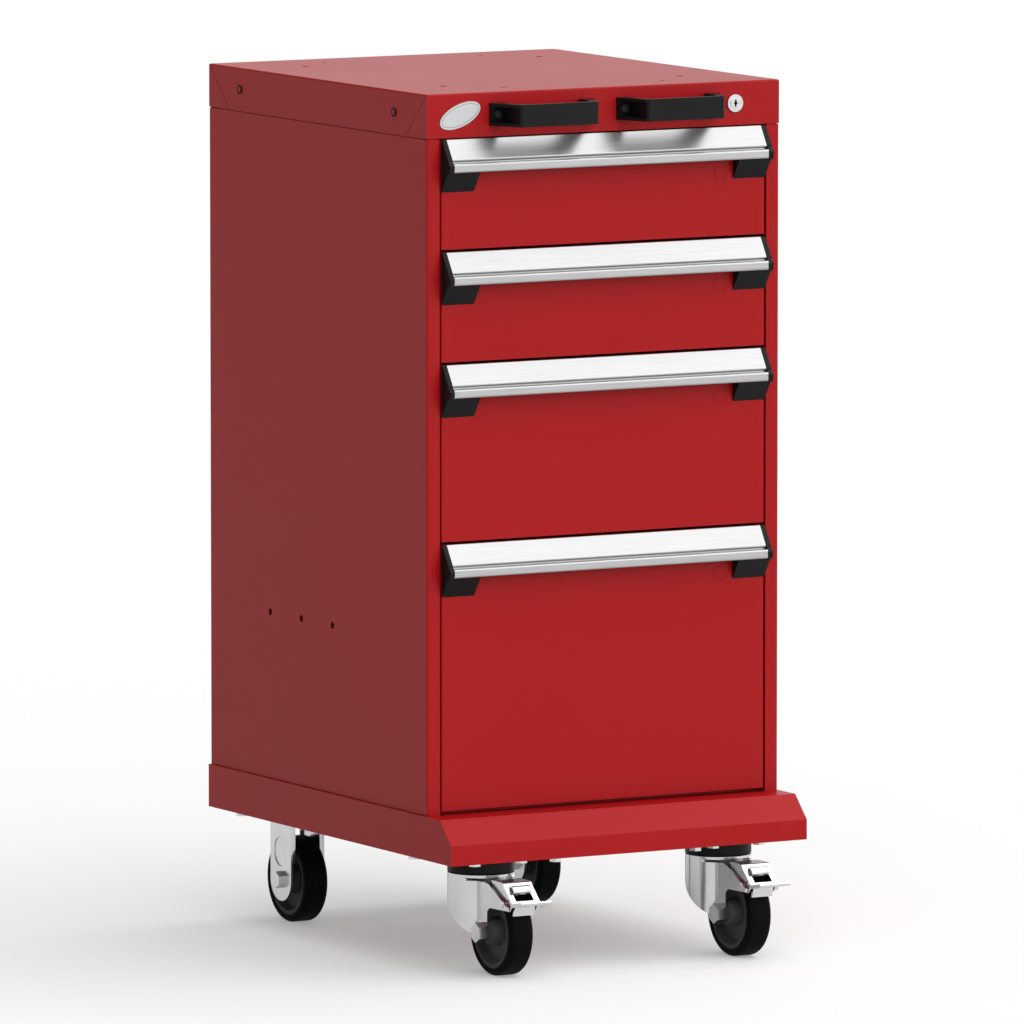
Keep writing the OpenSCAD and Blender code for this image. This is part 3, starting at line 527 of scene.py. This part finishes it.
badge_low, badge_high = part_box("badge")
badge_middle = (badge_low + badge_high) / 2
bpy.ops.object.select_all(action="DESELECT")
bpy.ops.mesh.primitive_circle_add(vertices=96, radius=1.0, fill_type="NGON")
badge = bpy.context.object
badge.name = "badge_plate"
badge.matrix_world = (Matrix.Translation((badge_middle.x, badge_high.y, badge_middle.z))
                      @ Matrix.Rotation(BADGE_LEAN, 4, "Y")
                      @ Matrix.Rotation(math.radians(90), 4, "X")
                      @ Matrix.Diagonal((BADGE_HALF_LONG, BADGE_HALF_SHORT, 1.0, 1.0)))
bpy.ops.object.transform_apply(location=True, rotation=True, scale=True)
badge.data.materials.append(pearl)
badge.data.materials.append(near_black_and_shade)
bpy.ops.object.mode_set(mode="EDIT")
bpy.ops.mesh.select_mode(type="FACE")
bpy.ops.mesh.select_all(action="SELECT")
bpy.ops.mesh.extrude_region_move(TRANSFORM_OT_translate={"value": (0.0, -BADGE_THICK, 0.0)})
bpy.ops.mesh.inset(thickness=RIM_WIDE, depth=0.0)
bpy.ops.mesh.inset(thickness=LINE_IN)
badge.active_material_index = 1
bpy.ops.object.material_slot_assign()
bpy.ops.mesh.inset(thickness=LINE_WIDE)
badge.active_material_index = 0
bpy.ops.object.material_slot_assign()
bpy.ops.mesh.select_all(action="SELECT")
bpy.ops.mesh.normals_make_consistent(inside=False)
bpy.ops.object.mode_set(mode="OBJECT")
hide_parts("badge")
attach(badge, "root")
print("badge has", len(badge.data.polygons), "faces")

# %% [markdown]
# ## The pedal rollers
# Between the two strips of each brake pedal sits a short barrel, the place for the toe. It could
# be spun from a profile, but a cylinder is already close: its ends are inset and sunk, and a bevel
# rounds its rims. The place comes from the pedal's own hinge.

# %% A roller for each pedal
ROLLER_RADIUS = 5.4 * MM
ROLLER_LONG = 22.9 * MM
ROLLER_FORWARD = 3.0 * MM
ROLLER_UP = 15.0 * MM
ROLLER_RIM = 1.6 * MM
ROLLER_SINK = 1.0 * MM
ROLLER_EDGE = 0.4 * MM


def pedal_roller(side):
    """Makes the roller of one pedal."""
    hinge = next(j for j in frame["record"]["behaviour"]["joints"] if j["name"] == "brake_" + side)
    across, along, up = hinge["pos_m"]
    bpy.ops.object.select_all(action="DESELECT")
    bpy.ops.mesh.primitive_cylinder_add(
        vertices=64, radius=ROLLER_RADIUS, depth=ROLLER_LONG,
        location=(across, along - ROLLER_FORWARD, up + ROLLER_UP),
        rotation=(0.0, math.radians(90), 0.0))
    roller = bpy.context.object
    roller.name = "pedal_roller_" + side
    bpy.ops.object.transform_apply(location=True, rotation=True, scale=True)
    roller.data.materials.append(zinc)
    hollow_faces(roller, lambda middle, normal: abs(normal.x) > FACING, ROLLER_RIM, ROLLER_SINK)
    apply_modifier(roller, "BEVEL", width=ROLLER_EDGE, segments=3, limit_method="ANGLE")
    bpy.ops.object.shade_smooth_by_angle(angle=SHARP)
    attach(roller, "pedal_" + side)
    print(roller.name, "at", hinge["pos_m"])


for side in ("left", "right"):
    pedal_roller(side)

# %% [markdown]
# ## The corner brackets
# A narrow gap runs under the top cover. At the two front corners a bent bracket stands behind it,
# inside the sheets, so that no light comes through. Two thin blocks would do, but bent sheet has a
# rounded corner. So it starts as a flat plate, one upright edge is extruded backwards to make the
# bend, and Solidify and Bevel modifiers give it its thickness and its rounded edges.

# %% A bracket in each front corner
SHEET = 1.5 * MM
BRACKET_CLEAR = 0.25 * MM
BRACKET_THICK = 1.0 * MM
BRACKET_HIGH = 16 * MM
BRACKET_FRONT = 12.4 * MM
BRACKET_DEEP = 23 * MM
BRACKET_EDGE = 0.3 * MM

cover_low, cover_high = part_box("top_cover")


def corner_bracket(name, side):
    """Bends a bracket for one front corner; side is -1 for left and 1 for right."""
    outer = side * (cover_high.x - SHEET - BRACKET_CLEAR)
    front = cover_low.y + SHEET + BRACKET_CLEAR
    bpy.ops.object.select_all(action="DESELECT")
    bpy.ops.mesh.primitive_plane_add(size=1.0)
    bracket = bpy.context.object
    bracket.name = name
    bracket.matrix_world = (Matrix.Translation((outer - side * BRACKET_FRONT / 2, front,
                                                cover_low.z))
                            @ Matrix.Rotation(math.radians(90), 4, "X")
                            @ Matrix.Diagonal((BRACKET_FRONT, BRACKET_HIGH, 1.0, 1.0)))
    bpy.ops.object.transform_apply(location=True, rotation=True, scale=True)
    bpy.ops.object.mode_set(mode="EDIT")
    bpy.ops.mesh.select_mode(type="EDGE")
    bpy.ops.mesh.select_all(action="DESELECT")
    bpy.ops.object.mode_set(mode="OBJECT")
    for edge in bracket.data.edges:
        middle = sum((bracket.data.vertices[v].co for v in edge.vertices), Vector()) / 2
        edge.select = abs(middle.x - outer) < FACE_TOLERANCE
    bpy.ops.object.mode_set(mode="EDIT")
    bpy.ops.mesh.extrude_region_move(TRANSFORM_OT_translate={"value": (0.0, BRACKET_DEEP, 0.0)})
    bpy.ops.mesh.select_all(action="SELECT")
    bpy.ops.mesh.normals_make_consistent(inside=False)
    bpy.ops.object.mode_set(mode="OBJECT")
    front_face = min(bracket.data.polygons, key=lambda face: face.center.y)
    inward = -1.0 if front_face.normal.y < 0.0 else 1.0
    apply_modifier(bracket, "SOLIDIFY", thickness=BRACKET_THICK, offset=inward)
    apply_modifier(bracket, "BEVEL", width=BRACKET_EDGE, segments=2, limit_method="ANGLE")
    bracket.data.materials.append(red_coat)
    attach(bracket, "root")
    print(name, "from", [round(v, 4) for v in bracket.bound_box[0]])


corner_bracket("corner_bracket_left", -1)
corner_bracket("corner_bracket_right", 1)

# %% [markdown]
# ## The floor
# The floor is a plain pale sheet, much larger than the view, so that its edge never shows. A sheet
# that curves up behind would hide the edge too, but would get in the way of other views. A little
# light of its own stands for the light that a white room throws under the cabinet, and keeps the
# shadow soft and grey.

# %% Floor
FLOOR_HALF = 60.0
FLOOR_GLOW = 0.27
bpy.ops.mesh.primitive_plane_add(size=2 * FLOOR_HALF, location=(0.0, 0.0, 0.0))
floor = bpy.context.object
floor.name = "floor"
floor_material, floor_place = new_material("pale_floor")
floor_cloud = floor_place.noise(0.6, 1.0)
surface(floor_material, floor_place, floor_cloud, 0.01 * MM,
        {"Base Color": rgb(0.45, 0.45, 0.45), "Roughness": 0.9,
         "Emission Color": rgb(1.0, 1.0, 1.0), "Emission Strength": FLOOR_GLOW})
floor.data.materials.append(floor_material)
print("floor", FLOOR_HALF * 2, "metres wide")
